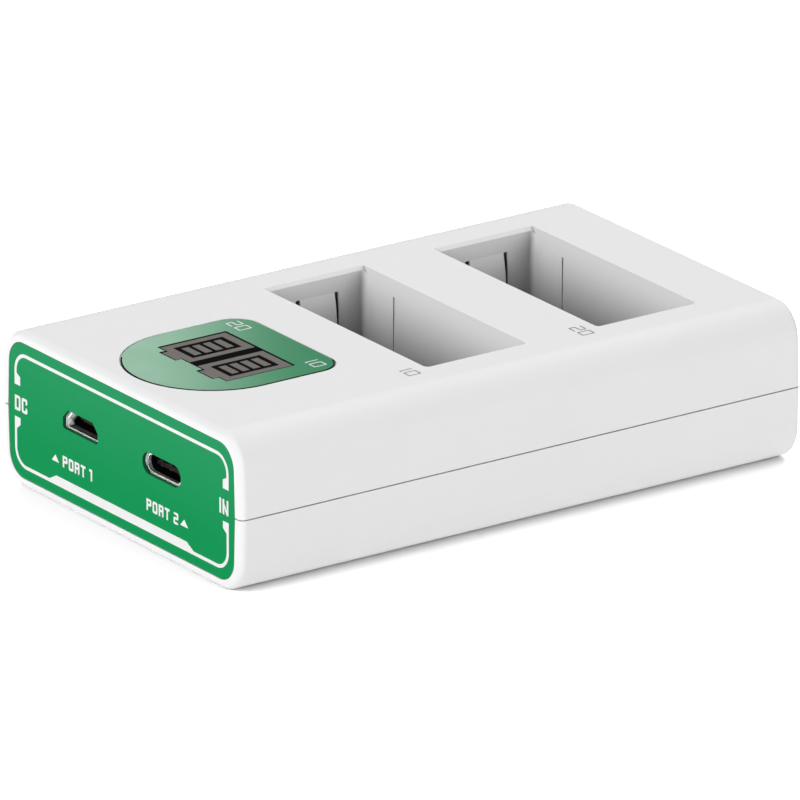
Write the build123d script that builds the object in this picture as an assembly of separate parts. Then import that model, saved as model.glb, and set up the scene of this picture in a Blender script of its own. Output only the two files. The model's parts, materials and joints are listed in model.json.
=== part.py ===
"""Two-bay camera battery charger.

X runs across the charger, Y from the port panel (front, -Y) to the back, Z up from the base.
All sizes are millimetres, angles are degrees.
"""

from build123d import *

import os
from math import radians, tan

# Casing
body_width = 60.0  # across the seam, the widest line
body_length = 96.7
body_height = 23.5
seam_height = 11.65
side_draft = 2.0  # the sides lean in from the seam, both ways
long_edge_radius = 5.0  # the edges that run front to back
end_edge_radius = 1.0  # round the front and back faces
shell_wall = 1.8
seam_groove_height = 0.18
seam_groove_depth = 0.4
lip_height = 1.2  # the lower half's lip, which the upper half fits over
lip_thickness = 0.8
lip_clearance = 0.1
lip_front_setback = 4.0
bead_depth = 0.25  # ridge along the lip, which clips into the upper half
bead_height = 0.4
bead_rise = 0.45  # above the seam
cut_over = 1.0  # cutters stand this far past the faces they cut
same_place = 1e-6  # edges and corners closer to a plane than this lie in it

# Battery bays
bay_width = 40.0
bay_length = 17.4
bay_pitch = 29.6
first_bay_y = -1.2
bay_wall = 1.4
bay_floor = 1.5
bay_draft = 0.8
bay_corner_radius = 0.7
bay_lead_in = 0.5  # slant on the left edge of the mouth

# Spring tongue in the left wall of each bay, hung from its top
tongue_width = 6.0
tongue_slit = 0.7
tongue_top_drop = 2.9  # top of the slits below the top face
tongue_bottom_rise = 2.0  # free end above the bay floor
tongue_bow = 0.6
tongue_offset = 0.3  # from the middle of the bay, towards the back

# Guide rib on the back wall of each bay
rib_width = 0.3
rib_height = 0.06  # above the wall at the floor, more higher up
rib_inset = 7.2  # from the left wall
rib_top_drop = 2.6

# Port panel
panel_side_margin = 1.65
panel_top_margin = 1.65
panel_bottom_margin = 1.55
panel_corner_radius = 3.5
panel_thickness = 0.55
panel_inset = 0.05  # its face lies this far behind the front face
panel_gap = 0.1

# Ports
port_spacing = 20.4
port_hole_side_margin = 0.3  # panel hole outside the connector's mouth
port_hole_end_margin = 0.06
port_wall_clearance = 0.12  # casing cut-out outside the connector's mouth
usb_c_width = 8.94
usb_c_height = 3.16
usb_c_length = 7.3
usb_c_wall = 0.3
usb_c_standoff = 0.12
usb_c_tongue_width = 6.7
usb_c_tongue_thickness = 0.7
usb_c_tongue_setback = 1.0
usb_c_contact_count = 3  # on each face of the tongue
usb_c_contact_width = 0.5
usb_c_contact_pitch = 2.2
micro_b_mouth_width = 8.14
micro_b_mouth_height = 2.86
micro_b_width = 7.4
micro_b_height = 2.3
micro_b_chamfer = 1.3
micro_b_corner_radius = 0.4
micro_b_flare = 0.9
micro_b_length = 5.4
micro_b_wall = 0.25
micro_b_dimple_radius = 0.4  # pressed into both sides of the shell
micro_b_dimple_height = 0.2
micro_b_dimple_setback = 1.5
micro_b_standoff = 0.9
micro_b_tongue_width = 4.6
micro_b_tongue_thickness = 0.6
micro_b_tongue_rise = 0.35  # above the middle of the mouth
micro_b_tongue_setback = 1.1
micro_b_contact_count = 5
micro_b_contact_width = 0.4
micro_b_contact_pitch = 0.65
insulator_depth = 2.4
contact_strip_thickness = 0.08
leg_width = 1.3
leg_end_setback = 1.0
leg_slot_clearance = 0.1
leg_below_board = 0.6

# Status window
window_radius = 12.85
window_front_margin = 2.75  # from the front face
window_tab_length = 14.0  # from the middle of its round end to its square end
window_corner_radius = 3.8
window_thickness = 0.18
window_gap = 0.2

# Display: two battery outlines side by side, each with its bars
icon_spacing = 9.3
icon_offset = 2.45  # behind the middle of the window's round end
icon_width = 7.4
icon_length = 11.1
icon_frame_side = 1.2
icon_frame_end = 1.35
icon_nub_width = 3.5
icon_nub_length = 1.05
icon_rim = 0.33  # black face that shows outside the outlines
bar_count = 4
bar_width = 3.45
bar_length = 1.2
bar_pitch = 1.83
bar_guide_depth = 3.0
frame_guide_depth = 2.5
guide_clearance = 0.03
display_drop = 0.06  # display's face below the top of the window
display_face_clearance = 0.05  # between that face and the cut-out's edge
display_margin = 0.8  # housing outside the cut-out
display_height = 6.85
display_board_thickness = 1.0
display_opening_clearance = 0.15
led_length = 1.6
led_width = 0.8
led_height = 0.6
led_cell_margin = 0.1
display_pin_side = 0.5
display_pin_pitch = 3.0
display_pin_count = 5
display_pin_row_inset = 0.8

# Boards
board_thickness = 1.2
board_top_drop = 0.05  # main board's top face below the seam
board_edge_gap = 0.4
board_side_gap = 1.7
board_bay_gap = 1.3
pin_hole_clearance = 0.05
pin_below_board = 0.8
contact_board_room = 2.5  # between the base and the contact board
contact_board_tab_width = 20.0
contact_board_tab_length = 5.6

# Parts on the main board
charge_chip_size = (5.0, 6.0, 1.6)
charge_chip_place = (15.0, 18.6)  # across, and behind the board's front edge
control_chip_size = (5.0, 5.0, 0.9)
inductor_size = (5.8, 5.8, 3.0)
inductor_chamfer = 1.2
inductor_place = (17.0, 11.6)
capacitor_size = (3.2, 1.6, 1.5)
capacitor_x = (12.5, 18.0)
capacitor_setback = 23.6
resistor_size = (1.6, 0.8, 0.5)
resistor_count = 4
resistor_pitch = 2.2
resistor_place = (19.5, 15.1)  # the foremost pair

# Battery contacts
blade_count = 3
blade_pitch = 3.6
blade_thickness = 0.5
blade_width = 3.0
blade_height = 4.5
blade_tip_chamfer = 0.8
blade_tail_width = 1.2
blade_wall_gap = 4.9  # from the right wall to the middle of the blades
blade_slot_clearance = 0.15
blade_tail_clearance = 0.1

# Link between the boards
link_pin_count = 6
link_pin_pitch = 2.54
link_pin_side = 0.64
link_body_height = 2.5
link_body_width = 2.5
link_pin_above_board = 1.0

# Screws that hold the main board, and what the boards rest on
board_screw_radius = 0.95
board_screw_head_radius = 1.8
board_screw_head_height = 1.2
board_screw_length = 5.5
board_screw_pilot_clearance = 0.05
board_screw_bore_clearance = 0.2
cross_width = 0.55
cross_length = 2.1
cross_depth = 0.7
board_post_radius = 2.3
board_post_side_inset = 4.0
board_post_back_inset = 5.8
board_rest_length = 8.0
board_rest_setback = 4.2
rest_width = 1.2
contact_rest_x = (-15.0, 6.0)

# Worked out from the sizes above
front_y = -body_length / 2
back_y = body_length / 2
panel_face_y = front_y + panel_inset
panel_back_y = panel_face_y + panel_thickness
rib_x = -bay_width / 2 + rib_inset
blade_x = bay_width / 2 - blade_wall_gap
window_y = front_y + window_front_margin + window_radius
window_back_y = window_y + window_tab_length
icon_y = window_y + icon_offset
bay_centres = (first_bay_y, first_bay_y + bay_pitch)
contact_board_bottom = shell_wall + contact_board_room
contact_board_top = contact_board_bottom + board_thickness
bay_floor_bottom = contact_board_top
bay_floor_top = bay_floor_bottom + bay_floor
bay_depth = body_height - bay_floor_top
bay_front_y = first_bay_y - bay_length / 2 - bay_wall
bay_back_y = bay_centres[1] + bay_length / 2 + bay_wall
board_top = seam_height - board_top_drop
board_bottom = board_top - board_thickness
board_front_y = front_y + shell_wall + board_edge_gap
board_back_y = bay_front_y - board_bay_gap
board_half_width = body_width / 2 - shell_wall - board_side_gap
board_post_x = board_half_width - board_post_side_inset
port_x = port_spacing / 2
usb_c_z = board_top + usb_c_standoff + usb_c_height / 2
micro_b_z = board_top + micro_b_standoff + micro_b_height / 2
window_bottom = body_height - window_thickness
display_face = body_height - display_drop
display_bottom = display_face - display_height
display_board_bottom = display_bottom - display_board_thickness
icon_centres = (-icon_spacing / 2, icon_spacing / 2)
icon_front_y = icon_y - icon_length / 2
icon_back_y = icon_y + icon_length / 2
display_half_width = icon_spacing / 2 + icon_width / 2 + icon_rim + display_margin
display_front_y = icon_front_y - icon_nub_length - icon_rim - display_margin
display_back_y = icon_back_y + icon_rim + display_margin
link_y = bay_front_y - contact_board_tab_length / 2
board_post_places = [
    (-board_post_x, board_back_y - board_post_back_inset),
    (board_post_x, board_back_y - board_post_back_inset),
]
link_pin_places = [
    (link_pin_pitch * (i - (link_pin_count - 1) / 2), link_y)
    for i in range(link_pin_count)
]
display_pin_places = [
    (display_pin_pitch * (i - (display_pin_count - 1) / 2), y)
    for y in (display_front_y + display_pin_row_inset, display_back_y - display_pin_row_inset)
    for i in range(display_pin_count)
]


# Helpers
def block(x0, x1, y0, y1, z0, z1):
    """Box between two corners."""
    centre = ((x0 + x1) / 2, (y0 + y1) / 2, (z0 + z1) / 2)
    return Pos(*centre) * Box(x1 - x0, y1 - y0, z1 - z0)


def centred_block(x, y, size_x, size_y, z0, z1):
    """Box centred on x and y, between two heights."""
    return block(x - size_x / 2, x + size_x / 2, y - size_y / 2, y + size_y / 2, z0, z1)


def post(x, y, radius, z0, z1):
    """Upright cylinder between two heights."""
    return Pos(x, y, (z0 + z1) / 2) * Cylinder(radius, z1 - z0)


def along_y(sketch, y0, y1):
    """Sketch drawn in X and Z, carried from y0 to y1."""
    plane = Plane(origin=(0, y0, 0), x_dir=(1, 0, 0), z_dir=(0, -1, 0))
    return extrude(plane * sketch, amount=y1 - y0, dir=(0, 1, 0))


def upright(sketch, z0, z1):
    """Sketch drawn in X and Y, carried from z0 to z1."""
    return extrude(Pos(0, 0, z0) * sketch, amount=z1 - z0, dir=(0, 0, 1))


def group(solids):
    """Like pieces that share one node."""
    return Compound(children=list(solids))


# Casing
def half_width(z):
    """Half the casing's width at a height."""
    return body_width / 2 - abs(z - seam_height) * tan(radians(side_draft))


def half_section(z_end, inset):
    """Section of one casing half, from the seam to z_end, drawn in X and Z."""
    at_seam = half_width(seam_height) - inset
    at_end = half_width(z_end) - inset
    outline = Polygon(
        (-at_seam, seam_height),
        (at_seam, seam_height),
        (at_end, z_end),
        (-at_end, z_end),
        align=None,
    )
    corners = [v for v in outline.vertices() if abs(v.Y - z_end) < same_place]
    return fillet(corners, long_edge_radius - inset)


def half_casing(z_end):
    """Solid of one casing half, with its end faces rounded off."""
    solid = along_y(half_section(z_end, 0), front_y, back_y)
    ends = [
        e
        for e in solid.edges()
        if abs(abs(e.center().Y) - back_y) < same_place and abs(e.center().Z - seam_height) > same_place
    ]
    return fillet(ends, end_edge_radius)


def half_cavity(z_end):
    """Hollow of one casing half."""
    section = half_section(z_end, shell_wall)
    return along_y(section, front_y + shell_wall, back_y - shell_wall)


def seam_ring(outer_inset, inner_inset, z0, z1):
    """Ring that follows the seam, between two insets from the widest line."""
    outer = Rectangle(body_width - 2 * outer_inset, body_length - 2 * outer_inset)
    inner = Rectangle(body_width - 2 * inner_inset, body_length - 2 * inner_inset)
    return upright(outer - inner, z0, z1)


def seam_lip(clearance):
    """Lip along the sides and the back, open at the front where the ports are."""
    ring = seam_ring(
        shell_wall - lip_thickness - clearance,
        shell_wall + clearance,
        seam_height,
        seam_height + lip_height + clearance,
    )
    front = front_y + lip_front_setback - clearance
    return ring & block(-body_width, body_width, front, back_y, 0, body_height)


def snap_bead(clearance):
    """Ridge on the outside of the lip."""
    low = seam_height + bead_rise
    lip_face = shell_wall - lip_thickness
    ring = seam_ring(
        lip_face - bead_depth - clearance,
        lip_face,
        low - clearance,
        low + bead_height + clearance,
    )
    front = front_y + lip_front_setback - clearance
    return ring & block(-body_width, body_width, front, back_y, 0, body_height)


def panel_outline(gap):
    """Outline of the port panel, parallel to the casing's section, drawn in X and Z."""
    low = panel_bottom_margin - gap
    high = body_height - panel_top_margin + gap
    inset = panel_side_margin - gap
    outline = Polygon(
        (-half_width(low) + inset, low),
        (half_width(low) - inset, low),
        (half_width(seam_height) - inset, seam_height),
        (half_width(high) - inset, high),
        (-half_width(high) + inset, high),
        (-half_width(seam_height) + inset, seam_height),
        align=None,
    )
    rows = outline.vertices().group_by(Axis.Y)
    return fillet(rows[0] + rows[-1], panel_corner_radius + gap)


def panel_recess():
    return along_y(panel_outline(panel_gap), front_y - cut_over, panel_back_y)


def window_outline(gap):
    """Outline of the status window: round towards the front, square towards the back."""
    disc = Pos(0, window_y) * Circle(window_radius + gap)
    length = window_back_y + gap - window_y
    tab = Pos(0, window_y + length / 2) * Rectangle(2 * (window_radius + gap), length)
    outline = disc + tab
    corners = outline.vertices().group_by(Axis.Y)[-1]
    return fillet(corners, window_corner_radius + gap)


def drafted_well(y, width):
    """Well as deep and long as a bay, drawn in a little towards its floor."""
    mouth = Plane(origin=(0, y, body_height), x_dir=(1, 0, 0), z_dir=(0, 0, -1))
    return extrude(mouth * Rectangle(width, bay_length), amount=bay_depth, taper=bay_draft)


def bay_slant(y):
    """Lead-in along the left edge of a bay's mouth, from its front wall to its back wall."""
    left = -bay_width / 2
    inner = left + bay_corner_radius
    slant = Polyline(
        (left - bay_lead_in, body_height),
        (inner, body_height - bay_lead_in - bay_corner_radius),
        (inner, body_height),
        close=True,
    )
    wedge = along_y(make_face(slant), y - bay_length, y + bay_length)
    return wedge & drafted_well(y, bay_width + 4 * bay_lead_in)


def bay_void(y):
    """Space for one battery, with rounded corners and a lead-in."""
    void = drafted_well(y, bay_width)
    corners = [e for e in void.edges() if e.bounding_box().size.Z > bay_depth / 2]
    return fillet(corners, bay_corner_radius) + bay_slant(y)


def bay_left_x(z):
    """Left wall of a bay at a height."""
    return -bay_width / 2 + (body_height - z) * tan(radians(bay_draft))


def tongue_slits(y):
    """Cut that frees a tongue in a bay's left wall on three sides."""
    middle = y + tongue_offset
    outer = tongue_width / 2 + tongue_slit
    top = body_height - tongue_top_drop
    bottom = bay_floor_top + tongue_bottom_rise
    x0 = -bay_width / 2 - bay_wall - cut_over
    x1 = bay_left_x(bottom) + cut_over
    frame = block(x0, x1, middle - outer, middle + outer, bottom, top)
    leaf = block(
        x0, x1, middle - tongue_width / 2, middle + tongue_width / 2, bottom + tongue_slit, top
    )
    return frame - leaf


def tongue_swell(y):
    """Bowed inner face of a tongue, which presses on the battery."""
    top = body_height - tongue_top_drop
    bottom = bay_floor_top + tongue_bottom_rise + tongue_slit
    middle = (top + bottom) / 2
    backing = bay_wall / 2
    start = (bay_left_x(top), top)
    crown = (bay_left_x(middle) + tongue_bow, middle)
    end = (bay_left_x(bottom), bottom)
    bow = ThreePointArc(start, crown, end)
    back = Polyline(end, (end[0] - backing, bottom), (start[0] - backing, top), start)
    y0 = y + tongue_offset - tongue_width / 2
    return along_y(make_face([bow, back]), y0, y0 + tongue_width)


def guide_rib(y):
    """Thin rib down the back wall of a bay, with a rounded top."""
    top = body_height - rib_top_drop - rib_width / 2
    face = y + bay_length / 2 - bay_depth * tan(radians(bay_draft)) - rib_height
    back = y + bay_length / 2 + bay_wall / 2
    rib = block(rib_x - rib_width / 2, rib_x + rib_width / 2, face, back, bay_floor_top, top)
    cap = along_y(Pos(rib_x, top) * Circle(rib_width / 2), face, back)
    return rib + cap


def port_cutouts():
    """Slots for the connectors in the front wall, open down to the seam."""
    gap = port_wall_clearance
    usb_c = Pos(port_x, usb_c_z) * SlotOverall(usb_c_width + 2 * gap, usb_c_height + 2 * gap)
    usb_c_foot = Pos(port_x, usb_c_z - usb_c_height) * Rectangle(
        usb_c_width + 2 * gap, 2 * usb_c_height
    )
    micro_b = Pos(-port_x, micro_b_z) * micro_b_outline(
        micro_b_mouth_width + 2 * gap, micro_b_mouth_height + 2 * gap
    )
    micro_b_foot = Pos(-port_x, micro_b_z - micro_b_mouth_height) * Rectangle(
        micro_b_mouth_width + 2 * gap, 2 * micro_b_mouth_height
    )
    sketch = usb_c + usb_c_foot + micro_b + micro_b_foot
    return along_y(sketch, front_y, front_y + shell_wall + cut_over)


def blade_slots(clearance, width, z0, z1):
    """Slots for the contact blades of both bays."""
    return [
        centred_block(
            blade_x, y, width + 2 * clearance, blade_thickness + 2 * clearance, z0, z1
        )
        for bay in bay_centres
        for y in blade_rows(bay)
    ]


def blade_rows(bay):
    return [bay + blade_pitch * (i - (blade_count - 1) / 2) for i in range(blade_count)]


def make_upper_shell():
    shell = half_casing(body_height) - half_cavity(body_height - shell_wall)
    pocket_top = body_height - shell_wall / 2
    pocket = RectangleRounded(
        bay_width + 2 * bay_wall, bay_length + 2 * bay_wall, bay_corner_radius + bay_wall
    )
    for y in bay_centres:
        shell += upright(Pos(0, y) * pocket, bay_floor_bottom, pocket_top)
    for y in bay_centres:
        shell -= bay_void(y)
    for y in bay_centres:
        shell -= tongue_slits(y)
        shell += tongue_swell(y)
        shell += guide_rib(y)
    shell -= upright(window_outline(window_gap), window_bottom, body_height + cut_over)
    shell -= block(
        -display_half_width - display_opening_clearance,
        display_half_width + display_opening_clearance,
        display_front_y - display_opening_clearance,
        display_back_y + display_opening_clearance,
        body_height - shell_wall - cut_over,
        body_height,
    )
    shell -= panel_recess()
    shell -= port_cutouts()
    shell -= seam_lip(lip_clearance)
    shell -= snap_bead(lip_clearance)
    for slot in blade_slots(
        blade_slot_clearance, blade_width, bay_floor_bottom - cut_over, bay_floor_top + cut_over
    ):
        shell -= slot
    return shell


def make_lower_shell():
    shell = half_casing(0) - half_cavity(shell_wall)
    shell += seam_lip(0)
    shell += snap_bead(0)
    floor = shell_wall / 2
    for x, y in board_post_places:
        shell += post(x, y, board_post_radius, floor, board_bottom)
    rest_y = board_front_y + board_rest_setback
    shell += centred_block(0, rest_y, board_rest_length, rest_width, floor, board_bottom)
    for x in contact_rest_x:
        left = x - rest_width / 2
        right = x + rest_width / 2
        shell += block(left, right, bay_front_y, bay_back_y, floor, contact_board_bottom)
    pilot_radius = board_screw_radius + board_screw_pilot_clearance
    pilot_bottom = board_top - board_screw_length - cut_over
    for x, y in board_post_places:
        shell -= post(x, y, pilot_radius, pilot_bottom, board_bottom + cut_over)
    groove_bottom = seam_height - seam_groove_height
    shell -= seam_ring(-cut_over, seam_groove_depth, groove_bottom, seam_height)
    shell -= panel_recess()
    return shell


# Port panel and status window
def make_port_panel():
    usb_c = Pos(port_x, usb_c_z) * SlotOverall(
        usb_c_width + 2 * port_hole_side_margin, usb_c_height + 2 * port_hole_end_margin
    )
    micro_b = Pos(-port_x, micro_b_z) * micro_b_outline(
        micro_b_mouth_width + 2 * port_hole_side_margin,
        micro_b_mouth_height + 2 * port_hole_end_margin,
    )
    return along_y(panel_outline(0) - usb_c - micro_b, panel_face_y, panel_back_y)


def display_cutout(clearance):
    """Both battery outlines and the band between them, with an even rim less a clearance."""
    rim = icon_rim - clearance
    width = icon_spacing + icon_width + 2 * rim
    cutout = Pos(0, icon_y) * Rectangle(width, icon_length + 2 * rim)
    for x in icon_centres:
        cutout += Pos(x, icon_front_y - icon_nub_length / 2) * Rectangle(
            icon_nub_width + 2 * rim, icon_nub_length + 2 * rim
        )
    return cutout


def make_status_window():
    return upright(window_outline(0) - display_cutout(0), window_bottom, body_height)


# Display
def icon_frame(x, margin):
    """Battery outline with its nub, open in the middle, grown or shrunk by a margin."""
    frame = Pos(x, icon_y) * Rectangle(icon_width + 2 * margin, icon_length + 2 * margin)
    frame += Pos(x, icon_front_y - icon_nub_length / 2) * Rectangle(
        icon_nub_width + 2 * margin, icon_nub_length + 2 * margin
    )
    return frame - Pos(x, icon_y) * Rectangle(
        icon_width - 2 * icon_frame_side - 2 * margin,
        icon_length - 2 * icon_frame_end - 2 * margin,
    )


def bar_places():
    rows = [icon_y + bar_pitch * (i - (bar_count - 1) / 2) for i in range(bar_count)]
    return [(x, y) for x in icon_centres for y in rows]


def frame_led_places():
    """One lamp under each battery's nub and one under its far end."""
    rows = (icon_front_y, icon_back_y - icon_frame_end / 2)
    return [(x, y) for x in icon_centres for y in rows]


def make_display_housing():
    housing = block(
        -display_half_width,
        display_half_width,
        display_front_y,
        display_back_y,
        display_bottom,
        window_bottom,
    )
    housing += upright(display_cutout(display_face_clearance), window_bottom, display_face)
    for x in icon_centres:
        frame = icon_frame(x, guide_clearance)
        housing -= upright(frame, display_face - frame_guide_depth, display_face + cut_over)
    for x, y in bar_places():
        housing -= centred_block(
            x,
            y,
            bar_width + 2 * guide_clearance,
            bar_length + 2 * guide_clearance,
            display_bottom - cut_over,
            display_face + cut_over,
        )
    for x, y in frame_led_places():
        housing -= centred_block(
            x,
            y,
            led_length + 2 * led_cell_margin,
            led_width + 2 * led_cell_margin,
            display_bottom - cut_over,
            display_face - frame_guide_depth + guide_clearance,
        )
    return housing


def make_frame_light_guides():
    return group(
        upright(icon_frame(x, 0), display_face - frame_guide_depth, display_face)
        for x in icon_centres
    )


def make_bar_light_guides():
    return group(
        centred_block(x, y, bar_width, bar_length, display_face - bar_guide_depth, display_face)
        for x, y in bar_places()
    )


def make_display_board():
    board = block(
        -display_half_width,
        display_half_width,
        display_front_y,
        display_back_y,
        display_board_bottom,
        display_bottom,
    )
    side = display_pin_side + 2 * pin_hole_clearance
    for x, y in display_pin_places:
        board -= centred_block(
            x, y, side, side, display_board_bottom - cut_over, display_bottom + cut_over
        )
    return board


def make_status_leds():
    return group(
        centred_block(x, y, led_length, led_width, display_bottom, display_bottom + led_height)
        for x, y in bar_places() + frame_led_places()
    )


def make_display_pins():
    return group(
        centred_block(
            x,
            y,
            display_pin_side,
            display_pin_side,
            board_bottom - pin_below_board,
            display_bottom,
        )
        for x, y in display_pin_places
    )


# Connectors
def micro_b_outline(width, height):
    """Flat-bottomed outline with both upper corners cut off."""
    x = width / 2
    z = height / 2
    outline = Polygon(
        (-x, -z),
        (x, -z),
        (x, z - micro_b_chamfer),
        (x - micro_b_chamfer, z),
        (-x + micro_b_chamfer, z),
        (-x, z - micro_b_chamfer),
        align=None,
    )
    return fillet(outline.vertices().group_by(Axis.Y)[0], micro_b_corner_radius)


def connector_legs(x, half, wall, z, length):
    """Legs that stand through the board, at the front and the back of a connector's shell."""
    legs = []
    for side in (-1, 1):
        outer = x + side * half
        inner = x + side * (half - wall)
        for y in leg_rows(length):
            legs.append(
                block(
                    min(inner, outer),
                    max(inner, outer),
                    y - leg_width / 2,
                    y + leg_width / 2,
                    board_bottom - leg_below_board,
                    z,
                )
            )
    return legs


def leg_rows(length):
    front = board_front_y + leg_end_setback + leg_width / 2
    back = panel_back_y + length - leg_end_setback - leg_width / 2
    return (front, back)


def contact_rows(x, count, pitch):
    return [x + pitch * (i - (count - 1) / 2) for i in range(count)]


def make_usb_c_shell():
    centre = Pos(port_x, usb_c_z)
    outer = centre * SlotOverall(usb_c_width, usb_c_height)
    inner = centre * SlotOverall(usb_c_width - 2 * usb_c_wall, usb_c_height - 2 * usb_c_wall)
    shell = along_y(outer - inner, panel_back_y, panel_back_y + usb_c_length)
    for leg in connector_legs(port_x, usb_c_width / 2, usb_c_wall, usb_c_z, usb_c_length):
        shell += leg
    return shell


def make_usb_c_tongue():
    centre = Pos(port_x, usb_c_z)
    back = panel_back_y + usb_c_length
    plug = centre * SlotOverall(
        usb_c_width - 2 * usb_c_wall - 2 * guide_clearance,
        usb_c_height - 2 * usb_c_wall - 2 * guide_clearance,
    )
    tongue = centre * Rectangle(usb_c_tongue_width, usb_c_tongue_thickness)
    body = along_y(plug, back - insulator_depth, back)
    return body + along_y(tongue, panel_back_y + usb_c_tongue_setback, back)


def make_usb_c_contacts():
    front = panel_back_y + usb_c_tongue_setback
    back = panel_back_y + usb_c_length - insulator_depth
    strips = []
    for side in (-1, 1):
        face = usb_c_z + side * usb_c_tongue_thickness / 2
        far = face + side * contact_strip_thickness
        for x in contact_rows(port_x, usb_c_contact_count, usb_c_contact_pitch):
            strips.append(
                block(
                    x - usb_c_contact_width / 2,
                    x + usb_c_contact_width / 2,
                    front,
                    back,
                    min(face, far),
                    max(face, far),
                )
            )
    return group(strips)


def micro_b_solid(inset):
    """Flared mouth and straight body, inset by a wall."""
    mouth = micro_b_outline(micro_b_mouth_width - 2 * inset, micro_b_mouth_height - 2 * inset)
    body = micro_b_outline(micro_b_width - 2 * inset, micro_b_height - 2 * inset)
    centre = Pos(-port_x, micro_b_z)
    plane = Plane(origin=(0, panel_back_y, 0), x_dir=(1, 0, 0), z_dir=(0, -1, 0))
    throat = panel_back_y + micro_b_flare
    inner_plane = Plane(origin=(0, throat, 0), x_dir=(1, 0, 0), z_dir=(0, -1, 0))
    flare = loft([plane * centre * mouth, inner_plane * centre * body])
    return flare + along_y(centre * body, throat, panel_back_y + micro_b_length)


def make_micro_b_shell():
    shell = micro_b_solid(0) - micro_b_solid(micro_b_wall)
    dimple_y = panel_back_y + micro_b_dimple_setback
    for side in (-1, 1):
        length = micro_b_wall + micro_b_dimple_height
        dimple_x = -port_x + side * (micro_b_width - length) / 2
        dimple = Rotation(0, 90, 0) * Cylinder(micro_b_dimple_radius, length)
        shell += Pos(dimple_x, dimple_y, micro_b_z) * dimple
    for leg in connector_legs(
        -port_x, micro_b_width / 2, micro_b_wall, micro_b_z, micro_b_length
    ):
        shell += leg
    return shell


def make_micro_b_tongue():
    centre = Pos(-port_x, micro_b_z)
    back = panel_back_y + micro_b_length
    inset = micro_b_wall + guide_clearance
    plug = centre * micro_b_outline(micro_b_width - 2 * inset, micro_b_height - 2 * inset)
    tongue = Pos(-port_x, micro_b_z + micro_b_tongue_rise) * Rectangle(
        micro_b_tongue_width, micro_b_tongue_thickness
    )
    body = along_y(plug, back - insulator_depth, back)
    return body + along_y(tongue, panel_back_y + micro_b_tongue_setback, back)


def make_micro_b_contacts():
    front = panel_back_y + micro_b_tongue_setback
    back = panel_back_y + micro_b_length - insulator_depth
    face = micro_b_z + micro_b_tongue_rise - micro_b_tongue_thickness / 2
    return group(
        block(
            x - micro_b_contact_width / 2,
            x + micro_b_contact_width / 2,
            front,
            back,
            face - contact_strip_thickness,
            face,
        )
        for x in contact_rows(-port_x, micro_b_contact_count, micro_b_contact_pitch)
    )


# Boards
def make_main_board():
    board = block(
        -board_half_width, board_half_width, board_front_y, board_back_y, board_bottom, board_top
    )
    low = board_bottom - cut_over
    high = board_top + cut_over
    for x, y in board_post_places:
        board -= post(x, y, board_screw_radius + board_screw_bore_clearance, low, high)
    for places, pin_side in (
        (display_pin_places, display_pin_side),
        (link_pin_places, link_pin_side),
    ):
        side = pin_side + 2 * pin_hole_clearance
        for x, y in places:
            board -= centred_block(x, y, side, side, low, high)
    gap = leg_slot_clearance
    for x, half, wall, length in (
        (port_x, usb_c_width / 2, usb_c_wall, usb_c_length),
        (-port_x, micro_b_width / 2, micro_b_wall, micro_b_length),
    ):
        for place in (x - half + wall / 2, x + half - wall / 2):
            for y in leg_rows(length):
                board -= centred_block(place, y, wall + 2 * gap, leg_width + 2 * gap, low, high)
    return board


def on_board(place, size):
    """Block that stands on the main board, its place measured back from the front edge."""
    y = board_front_y + place[1]
    return centred_block(place[0], y, size[0], size[1], board_top, board_top + size[2])


def both_sides(place):
    return [(-place[0], place[1]), place]


def make_charge_chips():
    return group(on_board(p, charge_chip_size) for p in both_sides(charge_chip_place))


def make_control_chip():
    pin_row = display_back_y - display_pin_row_inset
    y = (pin_row + link_y) / 2
    return on_board((0, y - board_front_y), control_chip_size)


def make_power_inductors():
    cores = []
    for p in both_sides(inductor_place):
        core = on_board(p, inductor_size)
        cores.append(chamfer(core.edges().filter_by(Axis.Z), inductor_chamfer))
    return group(cores)


def make_board_capacitors():
    return group(
        on_board(p, capacitor_size) for x in capacitor_x for p in both_sides((x, capacitor_setback))
    )


def make_board_resistors():
    return group(
        on_board(p, resistor_size)
        for i in range(resistor_count)
        for p in both_sides((resistor_place[0], resistor_place[1] + i * resistor_pitch))
    )


def make_contact_board():
    board = block(
        -bay_width / 2,
        bay_width / 2,
        bay_front_y,
        bay_back_y,
        contact_board_bottom,
        contact_board_top,
    )
    board += block(
        -contact_board_tab_width / 2,
        contact_board_tab_width / 2,
        bay_front_y - contact_board_tab_length,
        bay_front_y + cut_over,
        contact_board_bottom,
        contact_board_top,
    )
    low = contact_board_bottom - cut_over
    high = contact_board_top + cut_over
    for slot in blade_slots(blade_tail_clearance, blade_tail_width, low, high):
        board -= slot
    side = link_pin_side + 2 * pin_hole_clearance
    for x, y in link_pin_places:
        board -= centred_block(x, y, side, side, low, high)
    return board


def contact_blade(y):
    """Stamped blade: a tail through the board, shoulders on it, and a tapered tip."""
    half = blade_width / 2
    tail = blade_tail_width / 2
    tip = bay_floor_top + blade_height
    foot = contact_board_bottom - pin_below_board
    outline = Polygon(
        (blade_x - tail, foot),
        (blade_x + tail, foot),
        (blade_x + tail, contact_board_top),
        (blade_x + half, contact_board_top),
        (blade_x + half, tip - blade_tip_chamfer),
        (blade_x + half - blade_tip_chamfer, tip),
        (blade_x - half + blade_tip_chamfer, tip),
        (blade_x - half, tip - blade_tip_chamfer),
        (blade_x - half, contact_board_top),
        (blade_x - tail, contact_board_top),
        align=None,
    )
    return along_y(outline, y - blade_thickness / 2, y + blade_thickness / 2)


def make_bay_contacts(bay):
    return group(contact_blade(y) for y in blade_rows(bay))


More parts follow.
